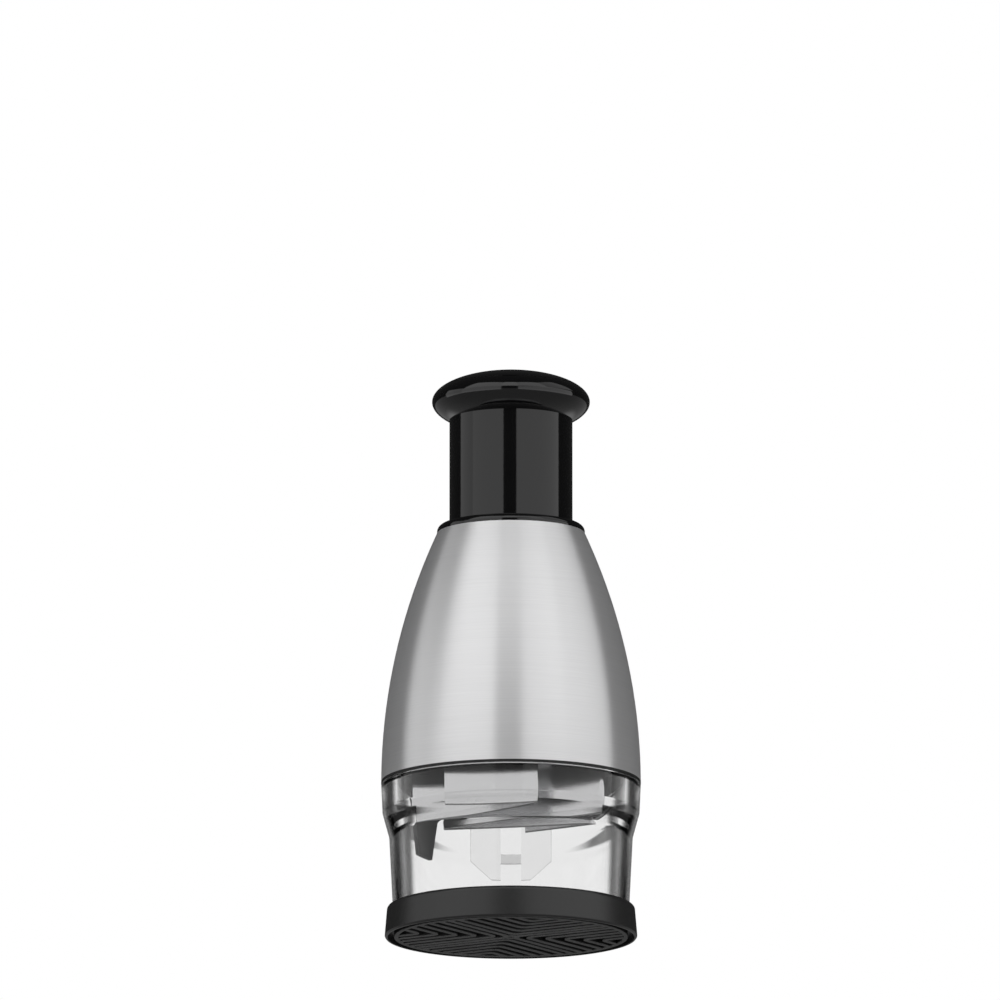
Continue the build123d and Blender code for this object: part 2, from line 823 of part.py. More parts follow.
# Carrier: a disc with a pocket for the blade's top edge and a countersunk hole for its screw
carrier_radius = blade_reach + carrier_margin
sink_depth = screw_head_radius - screw_shank_radius
with BuildPart() as blade_carrier:
    with BuildSketch(Plane.XY.offset(carrier_bottom)):
        Circle(carrier_radius)
    extrude(amount=carrier_thickness)
    with BuildSketch(Plane.XY.offset(carrier_bottom - overrun)):
        with BuildLine():
            Polyline(*blade_route())
        trace(line_width=blade_sheet + 2 * fit_gap)
    extrude(amount=overrun + blade_pocket, mode=Mode.SUBTRACT)
    with BuildSketch(Plane.XZ):
        with BuildLine():
            Polyline(
                (0, carrier_bottom),
                (screw_head_radius + fit_gap, carrier_bottom),
                (screw_shank_radius + fit_gap, carrier_bottom + sink_depth),
                (screw_shank_radius + fit_gap, carrier_top),
                (0, carrier_top),
                close=True,
            )
        make_face()
    revolve(axis=Axis.Z, mode=Mode.SUBTRACT)
blade_carrier.part.label = "blade_carrier"
export_step(blade_carrier.part, "parts/blade_carrier.step")

# Countersunk screw up through the carrier into the spindle
with BuildPart() as carrier_screw:
    with BuildSketch(Plane.XZ):
        with BuildLine():
            Polyline(
                (0, carrier_bottom),
                (screw_head_radius, carrier_bottom),
                (screw_shank_radius, carrier_bottom + sink_depth),
                (screw_shank_radius, carrier_top + screw_shank_length),
                (0, carrier_top + screw_shank_length),
                close=True,
            )
        make_face()
    revolve(axis=Axis.Z)
carrier_screw.part.label = "carrier_screw"
export_step(carrier_screw.part, "parts/carrier_screw.step")
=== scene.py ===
# %% [markdown]
# # Dressing a push-down food chopper
#
# The chopper has a ridged base, a clear cup, a black wiper, a brushed-steel bell and a black plunger with a
# mushroom knob. Its solids come from CAD at their real size, in metres, so this lesson never moves them. It
# gives every solid its finish, remodels the few pieces whose real form is finer than the solid, and lights
# them all like a catalogue picture.

# %% Load the chopper
import json
from math import cos, pi, radians, sin, tau

import bpy
from mathutils import Matrix, Vector


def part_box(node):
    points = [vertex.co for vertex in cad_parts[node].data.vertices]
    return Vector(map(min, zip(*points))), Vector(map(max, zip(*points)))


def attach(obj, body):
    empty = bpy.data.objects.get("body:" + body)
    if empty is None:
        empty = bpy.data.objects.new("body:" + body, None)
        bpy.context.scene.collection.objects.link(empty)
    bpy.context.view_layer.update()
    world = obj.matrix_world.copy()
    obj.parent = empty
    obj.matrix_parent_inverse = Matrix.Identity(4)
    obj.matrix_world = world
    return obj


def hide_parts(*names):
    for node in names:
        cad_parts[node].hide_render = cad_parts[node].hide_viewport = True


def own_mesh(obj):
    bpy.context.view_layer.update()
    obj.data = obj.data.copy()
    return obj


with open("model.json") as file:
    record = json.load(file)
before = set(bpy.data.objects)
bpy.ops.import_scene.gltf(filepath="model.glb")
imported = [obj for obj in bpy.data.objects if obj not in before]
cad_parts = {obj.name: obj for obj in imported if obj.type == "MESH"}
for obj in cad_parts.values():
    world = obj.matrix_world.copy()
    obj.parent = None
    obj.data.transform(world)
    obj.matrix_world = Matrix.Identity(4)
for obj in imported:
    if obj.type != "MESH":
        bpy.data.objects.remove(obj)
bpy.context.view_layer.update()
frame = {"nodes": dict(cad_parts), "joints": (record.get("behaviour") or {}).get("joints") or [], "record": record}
nodes = frame["nodes"]
MM = 0.001

# %% [markdown]
# ## A short way to write shader maths
#
# A finish is a graph of nodes. Wiring it by hand takes four lines a node, so one small class wraps a socket
# and lets it stand in a sum: `0.1 + 0.05 * grain` adds the Math nodes by itself. Every other node comes from
# one method, which sets the node's own settings first and then its sockets. A colour is given as its red,
# green and blue.

# %% Wrap a socket


class Wire:
    """An output socket that can stand in a sum."""

    def __init__(self, graph, socket):
        self.graph = graph
        self.socket = socket

    def join(self, operation, first, second):
        """A Math node on two values, either of which may be a plain number."""
        return self.graph.node("ShaderNodeMath", {"operation": operation}, {0: first, 1: second})

    def __add__(self, other):
        return self.join("ADD", self, other)

    def __sub__(self, other):
        return self.join("SUBTRACT", self, other)

    def __rsub__(self, other):
        return self.join("SUBTRACT", other, self)

    def __mul__(self, other):
        return self.join("MULTIPLY", self, other)

    __radd__ = __add__
    __rmul__ = __mul__


class Graph:
    """A node tree that is being wired."""

    def __init__(self, tree):
        self.tree = tree
        self.tree.nodes.clear()

    def node(self, kind, settings=None, sockets=None, output=0):
        """Adds a node, applies its settings, then fills its sockets with values or wires."""
        made = self.tree.nodes.new(kind)
        for name, value in (settings or {}).items():
            setattr(made, name, value)
        for name, value in (sockets or {}).items():
            socket = made.inputs[name]
            if isinstance(value, Wire):
                self.tree.links.new(value.socket, socket)
            elif socket.type == "RGBA":
                socket.default_value = (*value, 1)
            else:
                socket.default_value = value
        return Wire(self, made.outputs[output]) if made.outputs else made


def start_finish(name):
    """A new material and its empty graph."""
    material = bpy.data.materials.new(name)
    material.use_nodes = True
    return material, Graph(material.node_tree)


def grey(tone):
    """A colour without a hue."""
    return (tone, tone, tone)


print("shader maths is ready")

# %% [markdown]
# ## The camera
#
# The picture looks at the chopper from a little below, through a long lens, so round edges are narrow ovals
# and nothing leans. The frame is tall enough for the chopper drawn apart, which is how its parts are shown
# at the ends of their slides. A camera at rest looks down its own -Z, so a quarter turn about X points it
# along +Y.

# %% Place the camera
view_target = Vector((-3.9, 0, 158.0)) * MM
view_rise = radians(11)
view_distance = 8.0
frame_pixels = 1000
pixels_per_metre = 2810

camera_data = bpy.data.cameras.new("camera")
camera_data.lens = camera_data.sensor_width * pixels_per_metre * view_distance / frame_pixels
camera = bpy.data.objects.new("camera", camera_data)
camera.location = view_target - view_distance * Vector((0, cos(view_rise), sin(view_rise)))
camera.rotation_euler = (pi / 2 + view_rise, 0, 0)
bpy.context.scene.collection.objects.link(camera)
bpy.context.scene.camera = camera
bpy.context.scene.view_settings.view_transform = "Standard"
print("the lens is", round(camera_data.lens), "mm")

# %% [markdown]
# ## Softboxes
#
# Gloss black shows nothing but its reflections. In the picture each black wall has two upright grey bands
# with a dark gap between them, so the studio has two tall softboxes, left and right of the camera, and a
# weaker one that carries the left one on round the side. A cylinder mirrors an azimuth of twice its own, and
# that gives the angles that each box spans. The gap is missing on the brushed bell, which spreads its
# reflections up and down, so a row of boxes above them, brightest in the middle, closes it. Lamps are hidden
# from the camera and from the clear cup.

# %% Hang the softboxes
box_distance = 0.8
box_bottom = -0.4
box_split = 0.55
box_top = 1.6
# Name, azimuths in degrees from the camera's side towards +X where the box starts and ends, and radiance
lower_row = (
    ("left_side_softbox", -108, -76, 0.85),
    ("left_softbox", -76, -14, 1.1),
    ("right_softbox", 10, 100, 1.1),
)
upper_row = (
    ("upper_left_softbox", -74, -14, 1.38),
    ("upper_middle_softbox", -14, 10, 1.62),
    ("upper_right_softbox", 10, 56, 1.36),
    ("upper_side_softbox", 56, 106, 0.8),
)


def hang_softbox(name, start, end, radiance, bottom, top):
    """An upright area lamp between two azimuths and two levels, facing the chopper's axis."""
    middle = radians((start + end) / 2)
    half_span = radians((end - start) / 2)
    data = bpy.data.lights.new(name, "AREA")
    data.shape = "RECTANGLE"
    data.size = 2 * box_distance * sin(half_span) / cos(half_span)
    data.size_y = top - bottom
    data.energy = radiance * pi * data.size * data.size_y
    lamp = bpy.data.objects.new(name, data)
    lamp.location = (box_distance * sin(middle), -box_distance * cos(middle), (bottom + top) / 2)
    lamp.rotation_euler = (pi / 2, 0, middle)
    lamp.visible_camera = False
    lamp.visible_transmission = False
    bpy.context.scene.collection.objects.link(lamp)
    print(name, "is", round(data.size, 2), "m wide, with", round(data.energy, 1), "W")


for softbox in lower_row:
    hang_softbox(*softbox, box_bottom, box_split)
for softbox in upper_row:
    hang_softbox(*softbox, box_split, box_top)

# %% [markdown]
# ## The studio around it
#
# The backdrop is white to the camera. Through the cup it is a white band round the horizon with darker room
# above and below it, so that a step or a slope in the clear wall, which throws a ray up or down, is drawn in
# grey. To the gloss it is nearly black, as a studio is away from its softboxes, and brighter below, where
# the white table continues. The rest is a soft fill.

# %% Paint the world
fill_level = 0.35
dark_level = 0.03
below_level = 0.05
side_level = 0.25
horizon_blur = 0.06
band_end = radians(22)
room_start = radians(42)

world = bpy.data.worlds.new("studio")
bpy.context.scene.world = world
world.use_nodes = True
studio = Graph(world.node_tree)


def ray(graph, kind):
    """1 for rays of this kind, such as Camera or Glossy, and 0 for others."""
    return graph.node("ShaderNodeLightPath", output=f"Is {kind} Ray")


def step(graph, value, low, high):
    """A soft step from 0 to 1 as the value goes from low to high."""
    sockets = {"Value": value, "From Min": low, "From Max": high}
    return graph.node("ShaderNodeMapRange", {"interpolation_type": "SMOOTHSTEP"}, sockets)


def unsigned(graph, value):
    """A value without its sign."""
    return graph.node("ShaderNodeMath", {"operation": "ABSOLUTE"}, {0: value})


direction = studio.node("ShaderNodeTexCoord", output="Generated")
height = studio.node("ShaderNodeSeparateXYZ", None, {"Vector": direction}, "Z")
gloss_level = below_level + (dark_level - below_level) * step(studio, height, -horizon_blur, 0.0)
outside_band = step(studio, unsigned(studio, height), sin(band_end), sin(room_start))
clear_level = 1 + (side_level - 1) * outside_band
camera_ray = ray(studio, "Camera")
clear_ray = ray(studio, "Transmission")
gloss_ray = ray(studio, "Glossy")
seen_level = camera_ray + (1 - camera_ray) * clear_ray * clear_level
other = (1 - camera_ray) * (1 - clear_ray)
level = seen_level + other * (gloss_ray * gloss_level + (1 - gloss_ray) * fill_level)
backdrop = studio.node("ShaderNodeBackground", None, {"Color": grey(1), "Strength": level})
studio.node("ShaderNodeOutputWorld", None, {"Surface": backdrop})
print("the fill is", fill_level, "of white")

# %% [markdown]
# ## The floor
#
# The chopper stands on a pale table. The camera is below the table top, so the top is made one-sided: seen
# from underneath it lets light through. It also has a hole, hidden under the base, so that the ridged
# underside is lit. A filled circle is inset by all but the hole and its middle face is deleted. Seen from
# above, the table grows white towards the backdrop. Its reflection is plain and dimmer, with one bright card
# laid behind the chopper, where the undersides mirror it.

# %% Lay the floor
floor_radius = 3.0
floor_sides = 96
floor_drop = 0.2 * MM
hole_radius = frame["record"]["mounts"][0]["pos_m"][0]


def end_edit():
    """Back to object mode; returns the object that was edited."""
    bpy.ops.object.mode_set(mode="OBJECT")
    return bpy.context.object


bpy.ops.object.select_all(action="DESELECT")
bpy.ops.mesh.primitive_circle_add(
    vertices=floor_sides, radius=floor_radius, fill_type="NGON", location=(0, 0, -floor_drop)
)
bpy.ops.object.mode_set(mode="EDIT")
bpy.ops.mesh.inset(thickness=floor_radius - hole_radius)
bpy.ops.mesh.delete(type="FACE")
floor = end_edit()
floor.name = "table_top"
bpy.ops.object.transform_apply(location=True)
print("the floor has a hole of", round(hole_radius / MM, 1), "mm under the base")

# %% Paint the floor
table_tone = 0.62
near_glow = 0.36
gloss_glow = 0.28
full_glow = 0.98
# Where each fade starts and where it ends, in metres
backdrop_fade = (0.25, 0.9)
card_front = (0.2, 0.4)
card_back = (0.9, 1.2)
card_side = (0.10, 0.22)


def along(graph, axis):
    """A point's own X, Y or Z, in metres."""
    place = graph.node("ShaderNodeTexCoord", output="Object")
    return graph.node("ShaderNodeSeparateXYZ", None, {"Vector": place}, axis)


def radius_of(graph):
    """Distance of a point from the chopper's axis, in metres."""
    place = graph.node("ShaderNodeTexCoord", output="Object")
    flat = graph.node("ShaderNodeVectorMath", {"operation": "MULTIPLY"}, {0: place, 1: (1, 1, 0)})
    return graph.node("ShaderNodeVectorMath", {"operation": "LENGTH"}, {0: flat}, "Value")


def mix(graph, share, first, second=None):
    """A shader between two, by a share from 0 to 1. Without a second one, the first fades to black."""
    sockets = {"Fac": share, 1: first}
    if second:
        sockets[2] = second
    return graph.node("ShaderNodeMixShader", None, sockets)


def see_through(graph, tone):
    """A surface that shows what is behind it, dimmed to this tone."""
    return graph.node("ShaderNodeBsdfTransparent", None, {"Color": grey(tone)})


def cover(graph, surface):
    """Ends a material's graph in this surface."""
    graph.node("ShaderNodeOutputMaterial", None, {"Surface": surface})


floor_material, table = start_finish("table_top")
seen = ray(table, "Camera") + ray(table, "Transmission")
gloss = ray(table, "Glossy")
far = step(table, radius_of(table), *backdrop_fade)
behind = along(table, "Y")
lengthwise = step(table, behind, *card_front) * (1 - step(table, behind, *card_back))
card = lengthwise * (1 - step(table, unsigned(table, along(table, "X")), *card_side))
seen_glow = near_glow + (full_glow - near_glow) * far
mirrored_glow = gloss_glow + (full_glow - gloss_glow) * card
glow_level = seen * seen_glow + gloss * mirrored_glow
glow = table.node("ShaderNodeEmission", None, {"Color": grey(1), "Strength": glow_level})
matt = table.node("ShaderNodeBsdfDiffuse", None, {"Color": grey(table_tone)})
lit = table.node("ShaderNodeAddShader", None, {0: mix(table, seen * far + gloss, matt), 1: glow})
under = table.node("ShaderNodeNewGeometry", output="Backfacing")
cover(table, mix(table, under, lit, see_through(table, 1)))
floor.data.materials.append(floor_material)
print("the table glows from", near_glow, "to", full_glow)

# %% [markdown]
# ## Helpers that every finish shares
#
# Real surfaces are never even. Most finishes here need a noise that is stretched along one direction, such
# as the lines of a brush, and a colour between two. Object coordinates are the chopper's own metres, so a
# pattern keeps its real scale on every piece.

# %% Make the shared helpers


def noise(graph, stretch, detail, roughness=0.55):
    """Noise with this many cells a metre along X, Y and Z."""
    place = graph.node("ShaderNodeTexCoord", output="Object")
    scaled = graph.node("ShaderNodeVectorMath", {"operation": "MULTIPLY"}, {0: place, 1: stretch})
    sockets = {"Vector": scaled, "Scale": 1.0, "Detail": detail, "Roughness": roughness}
    return graph.node("ShaderNodeTexNoise", None, sockets)


def blend(graph, share, first, second):
    """A colour between two, by a share from 0 to 1."""
    sockets = {"Factor": share, 6: first, 7: second}
    return graph.node("ShaderNodeMix", {"data_type": "RGBA"}, sockets, 2)


def bump(graph, height, depth, strength):
    """Raises a surface by a pattern of this depth, in metres."""
    return graph.node("ShaderNodeBump", None, {"Height": height, "Distance": depth, "Strength": strength})


def principled(graph, sockets):
    """The shader that nearly every finish is made of."""
    return graph.node("ShaderNodeBsdfPrincipled", None, sockets)


finishes = {}

# %% [markdown]
# ## Gloss black
#
# The knob, plunger, collar and wiper are moulded in polished black plastic. The tool's polish is good but
# not perfect: the gloss varies slowly over the wall, and the skin has a faint orange peel. The sleeve slides
# in its collar, so fine upright rub lines dull it a little. The wiper's tongue, the lowest of these pieces,
# is matt: its side of the mould is etched, so that it lets go of the moulding.

# %% Polish the black plastic
tongue_top = 59.9 * MM
etch_fade = 1.0 * MM
peel_depth = 0.012 * MM


def gloss_black():
    material, graph = start_finish("gloss_black")
    cloud = noise(graph, (45, 45, 45), 3.0)
    rub = noise(graph, (1400, 1400, 25), 2.0)
    peel = noise(graph, (420, 420, 420), 2.0)
    matt = 1 - step(graph, along(graph, "Z"), tongue_top - etch_fade, tongue_top)
    polished = principled(
        graph,
        {
            "Base Color": blend(graph, cloud, (0.0020, 0.0020, 0.0021), (0.0040, 0.0040, 0.0042)),
            "Roughness": 0.045 + 0.04 * cloud + 0.03 * rub + 0.4 * matt,
            "IOR": 1.5,
            "Normal": bump(graph, peel, peel_depth, 0.5),
        },
    )
    etched = graph.node("ShaderNodeBsdfDiffuse", None, {"Color": (0.004, 0.004, 0.0042)})
    cover(graph, mix(graph, 0.65 * matt, polished, etched))
    return material


finishes["black_plastic"] = gloss_black()
print("gloss black is polished")

# %% [markdown]
# ## Satin black
#
# The base and the bell's liner are spark-eroded mouldings: a fine even grain breaks the reflection into a
# broad sheen. The base has slightly more sheen than the liner, which is seen only from below.

# %% Grain the satin mouldings
base_grain = 0.012 * MM
liner_grain = 0.008 * MM


def satin_black(name, tone, roughness, grain_depth):
    material, graph = start_finish(name)
    cloud = noise(graph, (30, 30, 30), 3.0)
    grain = noise(graph, (3200, 3200, 3200), 2.0)
    surface = principled(
        graph,
        {
            "Base Color": blend(graph, cloud, grey(0.8 * tone), grey(1.3 * tone)),
            "Roughness": roughness - 0.05 + 0.06 * cloud + 0.05 * grain,
            "IOR": 1.5,
            "Normal": bump(graph, grain, grain_depth, 0.6),
        },
    )
    cover(graph, surface)
    return material


finishes["base_plastic"] = satin_black("satin_base", 0.012, 0.36, base_grain)
finishes["liner_plastic"] = satin_black("satin_liner", 0.005, 0.62, liner_grain)
print("satin black is grained")

# %% [markdown]
# ## Rubber
#
# The tread under the base is moulded rubber. The ridges touch the table, so their crests are scuffed paler,
# and that paleness also carries a painted highlight, while the grooves between them are painted dark as
# shade. The height above the table tells crest from groove. The stop inside the bell is the same rubber, unworn.

# %% Mould the rubber
tread_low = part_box("tread_pad")[0].z
scuff_and_light_full = 0.1 * MM
scuff_and_light_end = 0.5 * MM
speckle_depth = 0.02 * MM


def speckles(graph):
    """The fine unevenness of moulded rubber."""
    return noise(graph, (1500, 1500, 1500), 3.0)


def tread_rubber():
    material, graph = start_finish("tread_rubber")
    speckle = speckles(graph)
    cloud = noise(graph, (60, 60, 60), 3.0)
    # Wear and painted highlight on the crests; the grooves keep a painted dark shade.
    crest_wear_and_light = 1 - step(graph, along(graph, "Z"), tread_low + scuff_and_light_full, tread_low + scuff_and_light_end)
    wear_and_painted_light = crest_wear_and_light * (0.55 + 0.6 * cloud)
    surface = principled(
        graph,
        {
            "Base Color": blend(graph, wear_and_painted_light, grey(0.002), grey(0.13)),
            "Roughness": 0.42 + 0.15 * speckle + 0.08 * crest_wear_and_light,
            "IOR": 1.5,
            "Normal": bump(graph, speckle, speckle_depth, 0.6),
        },
    )
    cover(graph, surface)
    return material


def stop_rubber():
    material, graph = start_finish("stop_rubber")
    speckle = speckles(graph)
    surface = principled(
        graph,
        {
            "Base Color": blend(graph, speckle, grey(0.03), grey(0.06)),
            "Roughness": 0.6 + 0.15 * speckle,
            "Normal": bump(graph, speckle, speckle_depth, 0.6),
        },
    )
    cover(graph, surface)
    return material


finishes["tread_rubber"] = tread_rubber()
finishes["stop_rubber"] = stop_rubber()
print("the rubber is moulded")

# %% [markdown]
# ## Clear plastic
#
# The cup is a clear moulding, a few millimetres thick. Through its middle the backdrop is nearly white.
# Towards its sides a ray enters at a flat angle and is thrown into the dark of the studio; that shade is
# painted into the colour, so the sides are painted dark grey by the viewing angle. At the very rim, which the
# view only grazes, the painted shade eases and the rim is made partly see-through, so light slips past again.
# A Layer Weight gives that angle. The waist under the band gets a painted dark line of shade that grows
# upwards into a sickle shape at each side, so the same angle sets how high it reaches. The pads of the keyway
# are painted a little greyer than the wall and their bar greyer still, as painted shade. Light on its way to
# the other pieces passes through, so the blade inside isn't left in the dark.

# %% Cast the clear cup
waist_low = 38.5 * MM
waist_growth = 12.0 * MM
waist_blur = 1.0 * MM
keyway_radius = 38.7 * MM
keyway_bar = 3.6 * MM
keyway_blur = 0.2 * MM
# Layer Weight, 0 face on and 1 edge on, where each fade starts and where it ends
side_shade_fade = (0.51, 0.62)
rim_fade = (0.68, 0.88)
grazing_fade = (0.66, 0.82)
waist_shade_fade = (0.13, 0.34)


def clear_plastic():
    material, graph = start_finish("clear_plastic")
    facing = graph.node("ShaderNodeLayerWeight", None, {"Blend": 0.5}, "Facing")
    # Painted shade: the sides are darkened by the viewing angle, less so at the very rim.
    side_shade_painted = step(graph, facing, *side_shade_fade) * (1 - 0.6 * step(graph, facing, *rim_fade))
    grazing = step(graph, facing, *grazing_fade)
    level = along(graph, "Z")
    # Painted shade: a dark line at the waist that rises at each side with the viewing angle.
    above_waist = step(graph, level, waist_low, waist_low + waist_blur)
    too_high = step(graph, level - waist_growth * facing, waist_low - waist_blur, waist_low)
    waist_shade_painted = above_waist * (1 - too_high) * step(graph, facing, *waist_shade_fade)
    # Painted shade: the keyway's pads are drawn a little greyer, and their bar greyer still.
    keyway = 1 - step(graph, radius_of(graph), keyway_radius, keyway_radius + keyway_blur)
    aside = unsigned(graph, along(graph, "X"))
    bar = keyway * (1 - step(graph, aside, keyway_bar, keyway_bar + keyway_blur))
    # All of the cup's painted shade, as a share of dark grey in the colour.
    edge = side_shade_painted + waist_shade_painted * (1 - side_shade_painted) + 0.2 * keyway + 0.33 * bar
    cloud = noise(graph, (25, 25, 60), 2.0)
    surface = principled(
        graph,
        {
            "Base Color": blend(graph, edge, grey(0.905), grey(0.03)),
            "Roughness": 0.01 * cloud,
            "IOR": 1.49,
            "Transmission Weight": 1.0,
            "Specular Tint": grey(0.4),
        },
    )
    # Painted shade: the darkened sides also show only a dim copy of what lies behind them.
    dimmed = mix(graph, 0.55 * side_shade_painted, surface, see_through(graph, 0.03))
    passing = ray(graph, "Shadow") + ray(graph, "Diffuse") + 0.45 * grazing
    cover(graph, mix(graph, passing, dimmed, see_through(graph, 0.86)))
    return material


finishes["clear_plastic"] = clear_plastic()
print("the cup is clear")

# %% [markdown]
# ## Brushed steel
#
# The bell was spun and brushed on a lathe, so its scratches run round it. They are far finer than a pixel,
# which stretches each highlight up and down the wall and keeps it narrow across: that is the shader's
# anisotropy, turned a quarter. A noise that is long round the bell and short along its height adds the few
# lines that do show.

# %% Brush the bell
brush_depth = 0.004 * MM


def brushed_steel():
    material, graph = start_finish("brushed_steel")
    lines = noise(graph, (35, 35, 5200), 3.0, 0.6)
    bands = noise(graph, (8, 8, 260), 2.0)
    surface = principled(
        graph,
        {
            "Base Color": blend(graph, lines, (0.71, 0.71, 0.715), (0.85, 0.85, 0.855)),
            "Metallic": 0.8,
            "Roughness": 0.32 + 0.06 * lines + 0.04 * bands,
            "Anisotropic": 0.95,
            "Anisotropic Rotation": 0.25,
            "Normal": bump(graph, lines, brush_depth, 0.5),
        },
    )
    cover(graph, surface)
    return material


finishes["brushed_steel"] = brushed_steel()
print("the bell is brushed")

# %% [markdown]
# ## Blade steel
#
# The blade is cold-rolled strip, almost a mirror, with faint rolling lines along it. Its lower edge is
# ground to a bevel on both sides. Grinding leaves short upright scratches, so the bevel is duller than the
# strip, and a fine dark line of painted shade runs along the sharpened edge itself.

# %% Roll and grind the blade steel
blade_low, blade_high = (corner.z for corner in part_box("zigzag_blade"))
bevel_height = 2.5 * MM
bevel_blur = 0.1 * MM
edge_line_full = 0.3 * MM
edge_line_end = 0.6 * MM
scratch_depth = 0.003 * MM


def blade_steel():
    material, graph = start_finish("blade_steel")
    rolled = noise(graph, (40, 40, 3600), 3.0)
    ground = noise(graph, (2600, 2600, 60), 3.0)
    above_edge = along(graph, "Z") - blade_low
    bevel = 1 - step(graph, above_edge, bevel_height - bevel_blur, bevel_height + bevel_blur)
    scratch = bevel * ground
    # Painted shade: a fine dark line along the sharpened edge.
    painted_edge_line = 1 - step(graph, above_edge, edge_line_full, edge_line_end)
    surface = principled(
        graph,
        {
            "Base Color": blend(graph, painted_edge_line, (0.64, 0.64, 0.645), grey(0.16)),
            "Metallic": 1.0,
            "Roughness": 0.10 + 0.05 * rolled + 0.06 * bevel + 0.10 * scratch,
            "Normal": bump(graph, rolled + scratch, scratch_depth, 0.4),
        },
    )
    cover(graph, surface)
    return material


finishes["blade_steel"] = blade_steel()
print("the blade steel is rolled and ground")

# %% [markdown]
# ## Small metal parts and pale plastic
#
# Spindle, washers and screws are turned steel with fine rings from the tool. The spring is drawn wire with a
# dull oiled skin. The bush and the ratchet are natural acetal, a waxy off-white that needs no grease.

# %% Turn the small parts
ring_depth = 0.004 * MM
acetal_grain = 0.008 * MM
acetal_scatter = 0.5 * MM


def turned_steel(name, tone, roughness):
    material, graph = start_finish(name)
    rings = noise(graph, (60, 60, 4200), 3.0)
    stain = noise(graph, (160, 160, 160), 3.0)
    dark = [0.85 * part for part in tone]
    surface = principled(
        graph,
        {
            "Base Color": blend(graph, stain, dark, tone),
            "Metallic": 1.0,
            "Roughness": roughness + 0.08 * rings + 0.06 * stain,
            "Normal": bump(graph, rings, ring_depth, 0.5),
        },
    )
    cover(graph, surface)
    return material


def natural_acetal():
    material, graph = start_finish("natural_acetal")
    cloud = noise(graph, (220, 220, 220), 3.0)
    grain = noise(graph, (2600, 2600, 2600), 2.0)
    surface = principled(
        graph,
        {
            "Base Color": blend(graph, cloud, (0.70, 0.69, 0.65), (0.80, 0.79, 0.75)),
            "Roughness": 0.36 + 0.1 * grain,
            "Subsurface Weight": 0.15,
            "Subsurface Scale": acetal_scatter,
            "Normal": bump(graph, grain, acetal_grain, 0.5),
        },
    )
    cover(graph, surface)
    return material


finishes["fastener_steel"] = turned_steel("turned_steel", (0.62, 0.62, 0.63), 0.22)
finishes["spring_steel"] = turned_steel("drawn_wire", (0.46, 0.46, 0.47), 0.32)
finishes["pale_plastic"] = natural_acetal()
print("small parts are finished")

# %% [markdown]
# ## Dress the solids
#
# Every solid has one material slot, and the record says which finish goes there. A piece that is modelled
# again takes over its solid's body, slot and place in the picture.

# %% Put each finish on its solids
for part in frame["record"]["subparts"]:
    nodes[part["node"]].data.materials[0] = finishes[part["material_slot"]]


def hand_over(piece, name, body, slot, node):
    """Names a finished piece, dresses it and lets it stand for its solid."""
    piece.name = name
    piece.data.materials.clear()
    piece.data.materials.append(finishes[slot])
    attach(piece, body)
    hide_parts(node)
    print(name, "has", len(piece.data.polygons), "faces")


# %% [markdown]
# ## The folded blade
#
# The solid blade has sharp corners. A real strip is folded over a mandrel, so each corner is a small round
# that catches a line of light. The strip starts as one point: it is extruded up to the strip's height and
# then run by run along the folds. The upright edges at the folds are bevelled round, and a Solidify modifier
# gives the sheet its thickness, with a vertex group that thins the lowest row to the cutting edge.

# %% Lay out the folds
sheet = 0.8 * MM
cutting_edge = 0.2 * MM
fold_flat = 2.2 * MM
fold_round = 0.75 * MM
fold_segments = 5
carrier_margin = 1.0 * MM
blade_turn = radians(-18)
blade_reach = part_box("blade_carrier")[1].x - carrier_margin
# Right and back of the axis, as shares of the reach
fold_shares = (
    (-0.39, -0.87),
    (0.49, -0.71),
    (-0.92, -0.29),
    (0.96, -0.06),
    (-0.87, 0.43),
    (0.68, 0.68),
    (-0.11, 0.82),
)

turn = Matrix.Rotation(blade_turn, 3, "Z")
folds = [turn @ Vector((x, y, 0)) * blade_reach for x, y in fold_shares]
route = [folds[0]]
for before, fold, after in zip(folds, folds[1:], folds[2:]):
    half_flat = (after - before).normalized() * fold_flat / 2
    route += [fold - half_flat, fold + half_flat]
route.append(folds[-1])
print("the strip has", len(route) - 1, "runs and reaches", round(blade_reach / MM, 1), "mm")

# %% Fold the strip


def extrude_by(shift):
    """Extrudes what is selected along a vector."""
    bpy.ops.mesh.extrude_region_move(TRANSFORM_OT_translate={"value": shift})


bpy.ops.object.select_all(action="DESELECT")
bpy.ops.mesh.primitive_plane_add(size=sheet, location=(route[0].x, route[0].y, blade_low))
bpy.ops.object.transform_apply(location=True)
bpy.ops.object.mode_set(mode="EDIT")
bpy.ops.mesh.select_mode(type="VERT")
bpy.ops.mesh.merge(type="CENTER")
for rise in (bevel_height, blade_high - blade_low - bevel_height):
    bpy.ops.mesh.select_all(action="DESELECT")
    strip = end_edit()
    highest = max(strip.data.vertices, key=lambda vertex: vertex.co.z)
    highest.select = True
    bpy.ops.object.mode_set(mode="EDIT")
    extrude_by((0, 0, rise))
bpy.ops.mesh.select_all(action="SELECT")
for start, end in zip(route, route[1:]):
    extrude_by(end - start)
strip = end_edit()
print("the strip has", len(strip.data.polygons), "flat faces")

# %% Round the folds and give the sheet its thickness
merge_distance = 0.001 * MM
same_place = 0.01 * MM


def modify(piece, kind, **settings):
    """Adds a modifier with its settings and applies it."""
    modifier = piece.modifiers.new(kind.title(), kind)
    for name, value in settings.items():
        setattr(modifier, name, value)
    bpy.ops.object.modifier_apply(modifier=modifier.name)


def merge_and_face_out():
    """Merges doubled points of the mesh that is being edited and turns its faces outwards."""
    bpy.ops.mesh.select_all(action="SELECT")
    bpy.ops.mesh.remove_doubles(threshold=merge_distance)
    bpy.ops.mesh.normals_make_consistent(inside=False)


def at_fold(edge):
    """Whether an edge of the strip stands upright where it is folded."""
    first, second = (strip.data.vertices[index].co.xy for index in edge.vertices)
    upright = (first - second).length < same_place
    return upright and min((first - point.xy).length for point in route[1:-1]) < same_place


